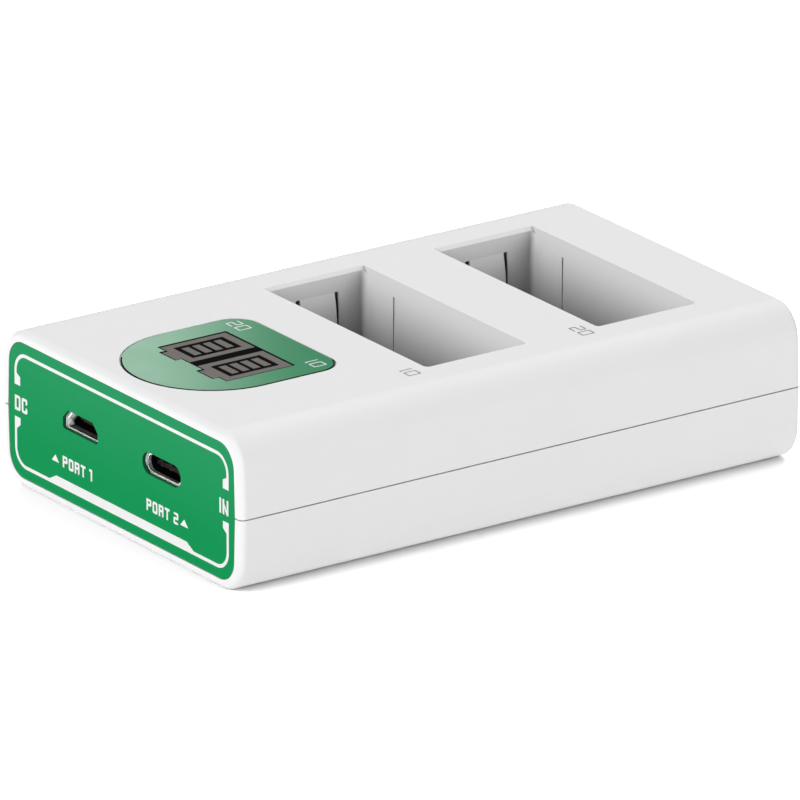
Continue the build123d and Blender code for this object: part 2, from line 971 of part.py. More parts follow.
def make_link_header():
    length = link_pin_pitch * link_pin_count
    top = contact_board_top + link_body_height
    body = centred_block(0, link_y, length, link_body_width, contact_board_top, top)
    side = link_pin_side + 2 * guide_clearance
    for x, y in link_pin_places:
        body -= centred_block(x, y, side, side, contact_board_top - cut_over, top + cut_over)
    return body


def make_link_pins():
    return group(
        centred_block(
            x,
            y,
            link_pin_side,
            link_pin_side,
            contact_board_bottom - pin_below_board,
            board_top + link_pin_above_board,
        )
        for x, y in link_pin_places
    )


# Screws
def cross_recess(x, y, length, z0, z1):
    """Cross-shaped driver recess."""
    return centred_block(x, y, length, cross_width, z0, z1) + centred_block(
        x, y, cross_width, length, z0, z1
    )


def make_board_screws():
    screws = []
    for x, y in board_post_places:
        top = board_top + board_screw_head_height
        screw = post(x, y, board_screw_head_radius, board_top, top)
        screw += post(x, y, board_screw_radius, board_top - board_screw_length, top)
        screw -= cross_recess(x, y, cross_length, top - cross_depth, top + cut_over)
        screws.append(screw)
    return group(screws)


nodes = {
    "upper_shell": make_upper_shell(),
    "lower_shell": make_lower_shell(),
    "port_panel": make_port_panel(),
    "status_window": make_status_window(),
    "display_housing": make_display_housing(),
    "frame_light_guides": make_frame_light_guides(),
    "bar_light_guides": make_bar_light_guides(),
    "display_board": make_display_board(),
    "status_leds": make_status_leds(),
    "display_pins": make_display_pins(),
    "usb_c_shell": make_usb_c_shell(),
    "usb_c_tongue": make_usb_c_tongue(),
    "usb_c_contacts": make_usb_c_contacts(),
    "micro_b_shell": make_micro_b_shell(),
    "micro_b_tongue": make_micro_b_tongue(),
    "micro_b_contacts": make_micro_b_contacts(),
    "main_board": make_main_board(),
    "charge_chips": make_charge_chips(),
    "control_chip": make_control_chip(),
    "power_inductors": make_power_inductors(),
    "board_capacitors": make_board_capacitors(),
    "board_resistors": make_board_resistors(),
    "contact_board": make_contact_board(),
    "bay_1_contacts": make_bay_contacts(bay_centres[0]),
    "bay_2_contacts": make_bay_contacts(bay_centres[1]),
    "link_header": make_link_header(),
    "link_pins": make_link_pins(),
    "board_screws": make_board_screws(),
}

os.makedirs("parts", exist_ok=True)
for name, solid in nodes.items():
    export_step(solid, f"parts/{name}.step")
    print(name, round(solid.volume, 2))
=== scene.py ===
# %% [markdown]
# # A two-bay camera battery charger
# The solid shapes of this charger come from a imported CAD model. In this lesson they get their
# looks: the camera and light of a product picture, a finish for every piece, and the printing on
# the front panel, the status window and the top. Everything is in metres, X runs across the
# charger, Y from the port panel to the back, and Z up from the table.

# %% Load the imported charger
import json
from math import cos, pi, radians, sin, tan

import bmesh
import bpy
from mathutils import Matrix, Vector

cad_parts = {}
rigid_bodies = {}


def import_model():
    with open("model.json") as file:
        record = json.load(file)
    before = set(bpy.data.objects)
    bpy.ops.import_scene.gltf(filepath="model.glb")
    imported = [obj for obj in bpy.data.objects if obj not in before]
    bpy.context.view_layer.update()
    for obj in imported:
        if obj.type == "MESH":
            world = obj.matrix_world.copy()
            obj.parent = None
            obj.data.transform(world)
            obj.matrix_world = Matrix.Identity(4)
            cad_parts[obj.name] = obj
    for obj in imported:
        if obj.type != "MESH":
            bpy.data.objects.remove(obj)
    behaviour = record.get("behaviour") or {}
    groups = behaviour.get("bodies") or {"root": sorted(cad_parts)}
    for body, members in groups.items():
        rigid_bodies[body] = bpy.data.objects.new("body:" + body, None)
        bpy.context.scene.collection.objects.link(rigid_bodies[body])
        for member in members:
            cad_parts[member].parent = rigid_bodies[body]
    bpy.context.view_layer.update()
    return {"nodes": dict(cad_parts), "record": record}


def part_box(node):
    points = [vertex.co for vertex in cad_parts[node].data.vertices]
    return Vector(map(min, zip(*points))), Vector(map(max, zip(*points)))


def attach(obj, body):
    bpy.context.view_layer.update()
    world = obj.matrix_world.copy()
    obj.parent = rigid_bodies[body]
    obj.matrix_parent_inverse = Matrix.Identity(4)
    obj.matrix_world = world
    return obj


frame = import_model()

charger = frame["nodes"]
mm = 0.001
bpy.data.batch_remove(list(bpy.data.materials))  # plain colours from the pack, not used here

# %% [markdown]
# ## Camera
# The picture was taken from far away with a long lens, so parallel edges stay nearly parallel.
# A camera close by with a wide lens would make the near corner look swollen. The camera therefore
# stands more than two metres off and looks through a lens of about 740 mm.

# %% Camera at the picture's angle
camera_place = Vector((1.80129, -1.26015, 0.80953))
camera_back = Vector((0.77016, -0.53861, 0.34155))  # from what it looks at, towards the camera


def deselect():
    """An operator acts on all that is selected, so each step starts from nothing."""
    bpy.ops.object.select_all(action="DESELECT")


deselect()
bpy.ops.object.camera_add(
    location=camera_place, rotation=(-camera_back).to_track_quat("-Z", "Y").to_euler()
)
camera = bpy.context.object
camera.data.lens = 740.45
camera.data.sensor_width = 36.0
camera.data.clip_end = 20.0
bpy.context.scene.camera = camera
print("camera lens", round(camera.data.lens), "mm")


# %% [markdown]
# ## Node helpers
# Worlds and materials are both made of nodes. Two small helpers keep the cells below short: one
# makes a node with its input values, the other joins an output to an input.


# %% Node helpers
def node(tree, kind, **values):
    """New node with the input values given by name, underscores for spaces."""
    made = tree.nodes.new(kind)
    for name, value in values.items():
        made.inputs[name.replace("_", " ")].default_value = value
    return made


def link(tree, out_socket, in_socket):
    tree.links.new(out_socket, in_socket)


print("node helpers ready")

# %% [markdown]
# ## Table
# In the picture the charger stands on pure white with only a thin soft shadow round its base.
# A plain white table would turn grey round the charger, so this one is brighter than white: what
# light still reaches it burns out, and only the darkest strip of shadow shows. It is hidden from
# diffuse rays, because the bright lower half of the room already stands for the light that a
# white table throws back. It lies a hair below the base: two faces in one plane would fight.

# %% White table
table_drop = 0.02 * mm
table_glow = 2.1

deselect()
bpy.ops.mesh.primitive_plane_add(size=8.0, location=(0, 0, -table_drop))
table = bpy.context.object
table.name = "table"
table.visible_diffuse = False

table_white = bpy.data.materials.new("table_white")
table_white.use_nodes = True
table_tree = table_white.node_tree
table_tree.nodes.remove(table_tree.nodes["Principled BSDF"])
table_shader = node(
    table_tree, "ShaderNodeBsdfDiffuse", Color=(table_glow, table_glow, table_glow, 1.0)
)
table_end = table_tree.nodes["Material Output"]
link(table_tree, table_shader.outputs["BSDF"], table_end.inputs["Surface"])
table.data.materials.append(table_white)
print("table", table.name, "brightness", table_glow)

# %% [markdown]
# ## Light
# A product picture is lit by large soft lamps, and a small lamp or a sun would give hard shadows.
# The studio has a dim room with a white floor and three large round softboxes.
#
# ### Dim room
# The room is a world whose light grows from a grey sky to a bright floor straight below. Light
# from below keeps the foot of the sides white. Bounces between white walls would wash the bays
# out, so diffuse bounces are off and the room alone gives that light.

# %% Dim room
floor_light, sky_light = 1.35, 0.15

scene = bpy.context.scene
scene.view_settings.view_transform = "Standard"
scene.cycles.diffuse_bounces = 0
room = bpy.data.worlds.new("dim_room")
room.use_nodes = True
scene.world = room
tree = room.node_tree
direction = tree.nodes.new("ShaderNodeTexCoord")
parts = tree.nodes.new("ShaderNodeSeparateXYZ")
height = node(
    tree, "ShaderNodeMapRange", From_Min=-1.0, From_Max=0.05, To_Min=floor_light, To_Max=sky_light
)
sky = tree.nodes["Background"]
sky.inputs["Color"].default_value = (1.0, 1.0, 1.0, 1.0)
link(tree, direction.outputs["Generated"], parts.inputs["Vector"])
link(tree, parts.outputs["Z"], height.inputs["Value"])
link(tree, height.outputs["Result"], sky.inputs["Strength"])
print("room", room.name)

# %% [markdown]
# ### Softboxes
# The box in front of the port panel shines into the bays and lights the walls that face it. The
# box on the right is low: it lights the side, but only the upper part of the walls inside that
# face it, so the bays grow dark with depth. The box on the left stands behind the charger, fills
# the top without lighting the rounded front edge, and throws the soft shadows to the front and
# the right. The boxes are hidden from glossy rays, because the satin top would mirror them and
# burn out when it is seen from the other side. A lamp's energy counts for its whole area, so
# each box gets the brightness times pi times its area.

# %% Softboxes
softbox_distance = 1.2


def softbox(name, azimuth, elevation, half_angle, brightness):
    """Round soft lamp that the charger sees at these angles, in degrees from +X and from level."""
    flat = cos(radians(elevation))
    towards = Vector(
        (flat * cos(radians(azimuth)), flat * sin(radians(azimuth)), sin(radians(elevation)))
    )
    radius = softbox_distance * tan(radians(half_angle))
    deselect()
    bpy.ops.object.light_add(
        type="AREA",
        location=towards * softbox_distance,
        rotation=towards.to_track_quat("Z", "Y").to_euler(),
    )
    lamp = bpy.context.object
    lamp.name = name
    lamp.visible_glossy = False
    lamp.data.shape = "DISK"
    lamp.data.size = 2 * radius
    lamp.data.energy = brightness * pi * pi * radius**2
    print(name, "radius", round(radius, 2), "m, energy", round(lamp.data.energy, 2), "W")


softbox("front_softbox", -81, 25, 21, 6.4)
softbox("right_softbox", 23, 19, 22, 3.5)
softbox("left_softbox", 135, 37, 26, 3.44)

# %% [markdown]
# ### Sheen on the film
# The satin film on top mirrors what stands behind it on the left, and in the picture it is pale
# on its left half. Painting that into the film would be wrong from any other side, so a lamp
# makes it: it stands where the film mirrors it towards the camera, and its straight edge gives
# the slow fall across the film. A narrow spread, like a grid before a real lamp, keeps its light
# on that one path. Light linking lets it shine on the film alone, because the matt shell beside
# it shows no sheen in the picture.

# %% Sheen lamp
to_lamp = Vector((-0.77, 0.54, 0.34)).normalized()  # the camera's direction, mirrored in the top
lamp_place = Vector((-155, -4, 74)) * mm
deselect()
bpy.ops.object.light_add(
    type="AREA", location=lamp_place, rotation=to_lamp.to_track_quat("Z", "Y").to_euler()
)
sheen_lamp = bpy.context.object
sheen_lamp.name = "sheen_lamp"
sheen_lamp.visible_camera = False
sheen_lamp.visible_diffuse = False
sheen_lamp.data.shape = "RECTANGLE"
sheen_lamp.data.size = 130 * mm
sheen_lamp.data.size_y = 100 * mm
sheen_lamp.data.spread = radians(60)
sheen_lamp.data.energy = 0.014
film_only = bpy.data.collections.new("film_only")
film_only.objects.link(charger["status_window"])
sheen_lamp.light_linking.receiver_collection = film_only
print("lamp", sheen_lamp.name, [round(v / mm) for v in sheen_lamp.location], "mm")

# %% [markdown]
# ## Shared surface effects
# Some effects are the same on many pieces. Each could be built again in every material, but a
# node group is built once and then placed with its own values.
#
# ### Grain and mottle
# Moulded plastic, film and board all have a fine grain and a faint broad mottle. Two noises on
# Object coordinates make them, so that they sit still on the piece.

# %% Grain group
grain_group = bpy.data.node_groups.new("moulded_grain", "ShaderNodeTree")
for socket_name in ("Grain Scale", "Mottle Scale"):
    grain_group.interface.new_socket(socket_name, in_out="INPUT", socket_type="NodeSocketFloat")
for socket_name in ("Grain", "Mottle"):
    grain_group.interface.new_socket(socket_name, in_out="OUTPUT", socket_type="NodeSocketFloat")
group_in = grain_group.nodes.new("NodeGroupInput")
group_out = grain_group.nodes.new("NodeGroupOutput")
coordinates = grain_group.nodes.new("ShaderNodeTexCoord")
for socket_name, detail in (("Grain", 2.0), ("Mottle", 3.0)):
    noise = node(grain_group, "ShaderNodeTexNoise", Detail=detail, Roughness=0.5)
    link(grain_group, coordinates.outputs["Object"], noise.inputs["Vector"])
    link(grain_group, group_in.outputs[socket_name + " Scale"], noise.inputs["Scale"])
    link(grain_group, noise.outputs["Fac"], group_out.inputs[socket_name])
print("group", grain_group.name)

# %% [markdown]
# ### Marks of drawing
# Sheet metal that was pulled through a die has fine lines along the pull. A noise that is drawn
# out along the charger's length gives them without an image.

# %% Drawn metal group
drawn_group = bpy.data.node_groups.new("drawn_metal", "ShaderNodeTree")
drawn_group.interface.new_socket("Streak Scale", in_out="INPUT", socket_type="NodeSocketFloat")
drawn_group.interface.new_socket("Streak", in_out="OUTPUT", socket_type="NodeSocketFloat")
group_in = drawn_group.nodes.new("NodeGroupInput")
group_out = drawn_group.nodes.new("NodeGroupOutput")
coordinates = drawn_group.nodes.new("ShaderNodeTexCoord")
stretch = node(drawn_group, "ShaderNodeMapping", Scale=(1.0, 0.06, 1.0))
noise = node(drawn_group, "ShaderNodeTexNoise", Detail=3.0, Roughness=0.6)
link(drawn_group, coordinates.outputs["Object"], stretch.inputs["Vector"])
link(drawn_group, stretch.outputs["Vector"], noise.inputs["Vector"])
link(drawn_group, group_in.outputs["Streak Scale"], noise.inputs["Scale"])
link(drawn_group, noise.outputs["Fac"], group_out.inputs["Streak"])
print("group", drawn_group.name)

# %% [markdown]
# ### Cut edges and painted shade
# The edges of a printed sheet are darker than its face, partly their own colour and partly painted shade,
# and the sockets use the same group for painted shade on faces that look up. They could be picked face by
# face, but the way a surface looks tells them apart as well: the group compares the normal with the
# direction of the face and gives one where they differ.

# %% Cut edge and painted shade group
edge_shade_group = bpy.data.node_groups.new("cut_edge_shade", "ShaderNodeTree")
edge_shade_group.interface.new_socket("Face", in_out="INPUT", socket_type="NodeSocketVector")
edge_shade_group.interface.new_socket("Edge", in_out="OUTPUT", socket_type="NodeSocketFloat")
group_in = edge_shade_group.nodes.new("NodeGroupInput")
group_out = edge_shade_group.nodes.new("NodeGroupOutput")
surface = edge_shade_group.nodes.new("ShaderNodeNewGeometry")
likeness = edge_shade_group.nodes.new("ShaderNodeVectorMath")
likeness.operation = "DOT_PRODUCT"
edge = node(edge_shade_group, "ShaderNodeMapRange", From_Min=0.72, From_Max=0.97, To_Min=1.0, To_Max=0.0)
link(edge_shade_group, surface.outputs["Normal"], likeness.inputs[0])
link(edge_shade_group, group_in.outputs["Face"], likeness.inputs[1])
link(edge_shade_group, likeness.outputs["Value"], edge.inputs["Value"])
link(edge_shade_group, edge.outputs["Result"], group_out.inputs["Edge"])
print("group", edge_shade_group.name)


# %% [markdown]
# ## Plastic, film, ink and board
# A plain colour looks like a computer picture. Each finish below therefore lets its colour and
# its roughness wander a little with the mottle, and roughens the surface with the grain. The
# sizes of both are real ones: about 0.2 mm for a moulded grain and a centimetre for the mottle.


# %% Grained finishes
def colour_mix(tree, first, second):
    """Mix node between two colours, each a colour or an output socket, with its factor free."""
    mix = tree.nodes.new("ShaderNodeMix")
    mix.data_type = "RGBA"
    for name, colour in (("A_Color", first), ("B_Color", second)):
        socket = next(s for s in mix.inputs if s.identifier == name)
        if isinstance(colour, tuple):
            socket.default_value = (*colour, 1.0)
        else:
            link(tree, colour, socket)
    factor = next(s for s in mix.inputs if s.identifier == "Factor_Float")
    result = next(s for s in mix.outputs if s.identifier == "Result_Color")
    return factor, result


def gloss_range(tree, rough):
    """Node that turns the middle of a noise into a roughness between two values."""
    return node(
        tree, "ShaderNodeMapRange", From_Min=0.3, From_Max=0.7, To_Min=rough[0], To_Max=rough[1]
    )


grain_depth = 0.05 * mm


def grained(name, pale, deep, rough, grain_size, mottle_size, bump, specular=0.5):
    """Finish with two close colours, a roughness range and a fine grain, sizes in millimetres."""
    finish = bpy.data.materials.new(name)
    finish.use_nodes = True
    tree = finish.node_tree
    shader = tree.nodes["Principled BSDF"]
    shader.inputs["Specular IOR Level"].default_value = specular
    grain = tree.nodes.new("ShaderNodeGroup")
    grain.node_tree = grain_group
    grain.inputs["Grain Scale"].default_value = 1.0 / (grain_size * mm)
    grain.inputs["Mottle Scale"].default_value = 1.0 / (mottle_size * mm)
    gloss = gloss_range(tree, rough)
    height = node(tree, "ShaderNodeBump", Strength=bump, Distance=grain_depth)
    factor, tint = colour_mix(tree, pale, deep)
    link(tree, grain.outputs["Mottle"], factor)
    link(tree, grain.outputs["Mottle"], gloss.inputs["Value"])
    link(tree, grain.outputs["Grain"], height.inputs["Height"])
    link(tree, tint, shader.inputs["Base Color"])
    link(tree, gloss.outputs["Result"], shader.inputs["Roughness"])
    link(tree, height.outputs["Normal"], shader.inputs["Normal"])
    return finish


print("a grain is", round(grain_depth / mm, 2), "mm deep at full strength")

# %% Outer finishes
white_shell = grained(
    "white_shell", (0.81, 0.81, 0.81), (0.785, 0.785, 0.785), (0.42, 0.5), 0.3, 14, 0.05, 0.22
)
display_black = grained(
    "display_black", (0.006, 0.006, 0.006), (0.004, 0.004, 0.004), (0.6, 0.7), 0.2, 4, 0.1, 0.02
)
display_grey = grained(
    "display_grey", (0.175, 0.165, 0.155), (0.16, 0.15, 0.14), (0.5, 0.6), 0.2, 3, 0.05, 0.05
)
port_black = grained(
    "port_black", (0.004, 0.004, 0.004), (0.003, 0.003, 0.003), (0.5, 0.6), 0.2, 2, 0.1, 0.1
)
white_print = grained(
    "white_print", (0.765, 0.77, 0.765), (0.74, 0.745, 0.74), (0.4, 0.5), 0.1, 2, 0.05, 0.2
)
grey_print = grained(
    "grey_print", (0.25, 0.25, 0.25), (0.21, 0.21, 0.21), (0.45, 0.55), 0.1, 2, 0.05
)
print("finishes", white_shell.name, display_black.name, display_grey.name, port_black.name)

# %% [markdown]
# ### Parts inside
# The boards and their parts are hidden while the charger is closed. They still get true colours,
# because the part can be opened on a bench: green laminate, black resin, grey ferrite, tan
# ceramic and lamps with a yellowish filling.

# %% Finishes of the parts inside
board_laminate = grained(
    "board_laminate", (0.02, 0.16, 0.05), (0.015, 0.12, 0.04), (0.35, 0.5), 0.4, 3, 0.2
)
lamp_white = grained(
    "lamp_white", (0.82, 0.80, 0.62), (0.80, 0.74, 0.50), (0.15, 0.25), 0.2, 0.6, 0.05
)
chip_black = grained(
    "chip_black", (0.02, 0.02, 0.022), (0.012, 0.012, 0.014), (0.55, 0.7), 0.15, 1.5, 0.2
)
ferrite = grained(
    "ferrite", (0.07, 0.07, 0.075), (0.04, 0.04, 0.045), (0.5, 0.75), 0.3, 2, 0.3
)
ceramic_tan = grained(
    "ceramic_tan", (0.42, 0.28, 0.16), (0.36, 0.23, 0.13), (0.45, 0.6), 0.2, 1, 0.1
)
print("finishes", board_laminate.name, lamp_white.name, chip_black.name, ferrite.name)


# %% [markdown]
# ## Printed sheet
# The port panel and the status window are sheets printed green on the back. Their faces are grained like
# the rest, but where a hole or the outline cuts the sheet, its edge is nearly black, partly its own
# colour and partly painted shade. That thin dark line is what makes a sheet look let in, so the edge
# group mixes it in. The port panel is also a little paler towards its upper edge, a painted reflection of
# the bright room, and a gradient along Z mixes that in.


# %% Sheet finishes
def sheet(name, pale, deep, edge_shade_colour, face, rough, grain_size, mottle_size, specular):
    """Grained finish whose cut edges, away from the direction of its face, are dark, partly with painted
    shade.
    """
    finish = grained(name, pale, deep, rough, grain_size, mottle_size, 0.01, specular)
    tree = finish.node_tree
    shader = tree.nodes["Principled BSDF"]
    face_tint = shader.inputs["Base Color"].links[0].from_socket
    edges = tree.nodes.new("ShaderNodeGroup")
    edges.node_tree = edge_shade_group
    edges.inputs["Face"].default_value = face
    factor, tint = colour_mix(tree, face_tint, edge_shade_colour)
    link(tree, edges.outputs["Edge"], factor)
    link(tree, tint, shader.inputs["Base Color"])
    return finish


def along(tree, axis, start, end):
    """Value that falls from one to nought between two places on an axis, in metres."""
    coordinates = tree.nodes.new("ShaderNodeTexCoord")
    parts = tree.nodes.new("ShaderNodeSeparateXYZ")
    fall = node(tree, "ShaderNodeMapRange", From_Min=start, From_Max=end, To_Min=1.0, To_Max=0.0)
    link(tree, coordinates.outputs["Object"], parts.inputs["Vector"])
    link(tree, parts.outputs[axis], fall.inputs["Value"])
    return fall.outputs["Result"]


green_film = sheet(
    "green_film", (0.028, 0.235, 0.10), (0.025, 0.225, 0.095), (0.003, 0.015, 0.007),
    (0, 0, 1), (0.33, 0.36), 0.15, 6, 0.3,
)
print("sheet", green_film.name)

# %% Port panel with a painted reflection at its upper edge
green_panel = sheet(
    "green_panel", (0.0073, 0.264, 0.081), (0.0063, 0.254, 0.077), (0.006, 0.093, 0.031),
    (0, -1, 0), (0.5, 0.56), 0.15, 9, 0.01,
)
panel_low, panel_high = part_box("port_panel")
panel_tree = green_panel.node_tree
panel_shader = panel_tree.nodes["Principled BSDF"]
panel_tint = panel_shader.inputs["Base Color"].links[0].from_socket
# Painted reflection: the upper part of the panel is made paler, as if it mirrored the bright room.
painted_sheen_green = (0.022, 0.28, 0.108)
painted_sheen_end = panel_low.z + 6 * mm
factor, tint = colour_mix(panel_tree, panel_tint, painted_sheen_green)
link(panel_tree, along(panel_tree, "Z", panel_high.z, painted_sheen_end), factor)
link(panel_tree, tint, panel_shader.inputs["Base Color"])
print("sheet", green_panel.name, "paler down to", round(painted_sheen_end / mm, 1), "mm")


# %% [markdown]
# ## Metal
# Blades, pins and screws are plated metal, each with its own colour. A metal is known by what it
# mirrors, so the colour is even, and only the roughness follows the marks of drawing.


# %% Metal finishes
streak_depth = 0.01 * mm


def drawn(name, colour, rough, streak_size, bump):
    """Bare or plated metal with streaks along the charger's length, sizes in millimetres."""
    finish = bpy.data.materials.new(name)
    finish.use_nodes = True
    tree = finish.node_tree
    shader = tree.nodes["Principled BSDF"]
    shader.inputs["Metallic"].default_value = 1.0
    shader.inputs["Base Color"].default_value = (*colour, 1.0)
    streaks = tree.nodes.new("ShaderNodeGroup")
    streaks.node_tree = drawn_group
    streaks.inputs["Streak Scale"].default_value = 1.0 / (streak_size * mm)
    gloss = gloss_range(tree, rough)
    height = node(tree, "ShaderNodeBump", Strength=bump, Distance=streak_depth)
    link(tree, streaks.outputs["Streak"], gloss.inputs["Value"])
    link(tree, streaks.outputs["Streak"], height.inputs["Height"])
    link(tree, gloss.outputs["Result"], shader.inputs["Roughness"])
    link(tree, height.outputs["Normal"], shader.inputs["Normal"])
    return finish


contact_gold = drawn("contact_gold", (0.85, 0.62, 0.26), (0.2, 0.3), 0.1, 0.2)
pin_tin = drawn("pin_tin", (0.66, 0.66, 0.64), (0.3, 0.45), 0.1, 0.3)
screw_steel = drawn("screw_steel", (0.5, 0.5, 0.51), (0.3, 0.45), 0.1, 0.3)
print("metals", contact_gold.name, pin_tin.name, screw_steel.name)


# %% [markdown]
# ### Sockets
# The sockets are drawn steel shells, bright at the lip, where they show, and black further in, where
# hardly any light gets. With bounces off, the lamps alone would leave the inside too bright, so a
# gradient along the charger's length paints shade on it from the mouth inwards. Faces of the flared lip
# that look up get painted shade too, as the panel's hole shades the real ones.


# %% Socket finishes
def socket_metal_painted_shade(name, colour, shade, rough, lip, depth):
    """Metal that is bright for the length of the lip and then ends in painted shade, black, in
    millimetres.
    """
    finish = drawn(name, colour, rough, 0.2, 0.05)
    tree = finish.node_tree
    shader = tree.nodes["Principled BSDF"]
    shader.inputs["Specular IOR Level"].default_value = 0.0
    slopes = tree.nodes.new("ShaderNodeGroup")
    slopes.node_tree = edge_shade_group
    slopes.inputs["Face"].default_value = (0, -0.42, 0.91)  # up and a little out of the mouth
    # Painted shade: faces that look up take the shade colour.
    upward, lip_tint = colour_mix(tree, shade, colour)
    link(tree, slopes.outputs["Edge"], upward)
    # Painted shade: the colour turns black from the lip inwards, where little light gets.
    lit = along(tree, "Y", mouth_y + lip * mm, mouth_y + (lip + depth) * mm)
    factor, tint = colour_mix(tree, (0.003, 0.003, 0.003), lip_tint)
    link(tree, lit, factor)
    link(tree, lit, shader.inputs["Metallic"])
    link(tree, tint, shader.inputs["Base Color"])
    return finish


mouth_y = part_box("usb_c_shell")[0].y
bright_steel = (0.92, 0.92, 0.91)
# The second colour of each socket is the painted shade on its faces that look up.
port_steel = socket_metal_painted_shade("port_steel", bright_steel, (0.5, 0.5, 0.5), (0.5, 0.6), 0.3, 0.3)
flared_steel = socket_metal_painted_shade("flared_steel", bright_steel, (0.13, 0.13, 0.13), (0.5, 0.6), 0.3, 0.5)
# The dim gold and its darker second colour are painted shade: the contacts lie deep in the mouth.
port_gold = socket_metal_painted_shade("port_gold", (0.16, 0.11, 0.05), (0.1, 0.07, 0.03), (0.4, 0.5), 0.6, 0.8)
print("sockets", port_steel.name, flared_steel.name, "mouth at", round(mouth_y / mm, 2), "mm")

# %% [markdown]
# ### Dressing the pieces
# The record names a finish for every piece, so one loop dresses them all. Only the pieces inside the port
# mouths take another one, with painted shade that grows dark inwards.

# %% Put the finishes on the CAD pieces
shaded_port_pieces = {
    "usb_c_contacts": port_gold,
    "micro_b_contacts": port_gold,
    "micro_b_shell": flared_steel,
}
for part in frame["record"]["subparts"]:
    piece = charger[part["node"]]
    finish = shaded_port_pieces.get(part["node"], bpy.data.materials[part["material_slot"]])
    piece.data.materials.clear()
    piece.data.materials.append(finish)

# %% [markdown]
# ## Printing
# The white lines and words on the front and the marks on the top are films of ink. Painting them
# in a material would leave nothing in the mesh, so each is a thin piece of its own that lies on
# the surface it is printed on. The helpers select by place, cut along a plane, and give a flat
# shape the thickness of ink.

# %% Printing helpers
ink = 0.01 * mm
panel_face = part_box("port_panel")[0].y
window_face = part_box("status_window")[1].z
top_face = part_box("upper_shell")[1].z


def pick(test):
    """Select the vertices of the mesh in edit mode that pass a test on their place in mm."""
    mesh = bmesh.from_edit_mesh(bpy.context.edit_object.data)
    for v in mesh.verts:
        v.select_set(test(v.co / mm))
    mesh.select_flush(True)
    bmesh.update_edit_mesh(bpy.context.edit_object.data)


def pick_faces(test):
    """Select the faces whose middle passes a test on its place in mm."""
    mesh = bmesh.from_edit_mesh(bpy.context.edit_object.data)
    for f in mesh.faces:
        f.select_set(test(f.calc_center_median() / mm))
    bmesh.update_edit_mesh(bpy.context.edit_object.data)


def cut(place, normal):
    """Cut the whole mesh in edit mode along a plane, its place in mm."""
    bpy.ops.mesh.select_all(action="SELECT")
    bpy.ops.mesh.bisect(plane_co=Vector(place) * mm, plane_no=normal)


def lay_ink(piece, name, slot):
    """Give a flat shape the thickness of ink and fix it to the charger."""
    deselect()
    piece.select_set(True)
    bpy.context.view_layer.objects.active = piece
    film = piece.modifiers.new("ink", "SOLIDIFY")
    film.thickness = ink
    film.offset = 1.0
    bpy.ops.object.modifier_apply(modifier=film.name)
    piece.name = name
    piece.data.materials.clear()
    piece.data.materials.append(bpy.data.materials[slot])
    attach(piece, "root")
    print(name, len(piece.data.polygons), "faces")


print("printing on faces at", [round(v / mm, 2) for v in (panel_face, window_face, top_face)])

# %% [markdown]
# ### Border line
# The border is a rounded frame, broken at both sides, with small tabs at the breaks and a bar
# at the foot. A curve could draw it, but every width would then be a point to work out. It
# starts as a plane: its corners are beveled, an inset makes the line, the inside is deleted, and
# planes cut the line where tabs and breaks begin. The tabs and the bar are then pulled inwards
# by their inner points.

# %% Border frame
border_half_width = 26.83
border_top = 20.3
border_bottom = 3.0
border_line = 0.52
border_corner = 2.9

deselect()
bpy.ops.mesh.primitive_plane_add(
    size=mm,
    location=(0, panel_face, (border_top + border_bottom) / 2 * mm),
    rotation=(radians(90), 0, 0),
)
border = bpy.context.object
border.scale = (2 * border_half_width, border_top - border_bottom, 1)
bpy.ops.object.transform_apply(location=True, rotation=True, scale=True)
bpy.ops.object.mode_set(mode="EDIT")
bpy.ops.mesh.select_all(action="SELECT")
bpy.ops.mesh.bevel(offset=border_corner * mm, segments=10, affect="VERTICES")
bpy.ops.mesh.select_all(action="SELECT")
bpy.ops.mesh.inset(thickness=border_line * mm, use_even_offset=True)
bpy.ops.mesh.delete(type="FACE")
bpy.ops.object.mode_set(mode="OBJECT")
print("border line", len(border.data.polygons), "faces")

# %% Border breaks, tabs and bar
tab_reach = 0.9
break_top, tab_top, slope_top = 15.2, 16.5, 16.95
break_bottom, tab_bottom, slope_bottom = 10.35, 9.3, 8.65
bar_half_width, bar_foot, bar_rise = 16.35, 18.1, 0.93
inner_x = border_half_width - border_line
inner_z = border_bottom + border_line
touch = 0.05

bpy.ops.object.mode_set(mode="EDIT")
for z in (break_top, tab_top, slope_top, break_bottom, tab_bottom, slope_bottom):
    cut((0, 0, z), (0, 0, 1))
for x in (-bar_foot, -bar_half_width, bar_half_width, bar_foot):
    cut((x, 0, 0), (1, 0, 0))
bpy.ops.mesh.select_mode(type="FACE")
pick_faces(lambda c: break_bottom < c.z < break_top)
bpy.ops.mesh.delete(type="FACE")
bpy.ops.mesh.select_mode(type="VERT")
for side in (-1, 1):
    pick(
        lambda c: abs(c.x - side * inner_x) < touch
        and (break_top - touch < c.z < tab_top + touch or tab_bottom - touch < c.z < break_bottom + touch)
    )
    bpy.ops.transform.translate(value=(-side * tab_reach * mm, 0, 0))
pick(lambda c: abs(c.z - inner_z) < touch and abs(c.x) < bar_half_width + touch)
bpy.ops.transform.translate(value=(0, 0, bar_rise * mm))
bpy.ops.object.mode_set(mode="OBJECT")
lay_ink(border, "panel_border", "white_print")

# %% [markdown]
# ### Painted shade along the window's rim
# The window film's cut edge lies in shade along its front and its right side, and that shade is painted
# here as a black line. On a film of 0.18 mm that edge is too thin for a material to find, so it is a line
# of its own. It follows the film's outline: a plane of the film's size, its two front corners beveled
# into the round end and its two back corners by less, then an inset, and half of the line is deleted.

# %% Painted shade line along the window's rim
rim_line = 0.2
rim_corner = 3.8
shade_side = Vector((0.8, -0.6, 0.0))  # where the dark edge shows, seen from the middle
window_low, window_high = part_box("status_window")
rim_size = (window_high - window_low) / mm
rim_middle = (window_high + window_low) / (2 * mm)
round_end = 0.999 * rim_size.x / 2  # a little short, because the two bevels may not meet

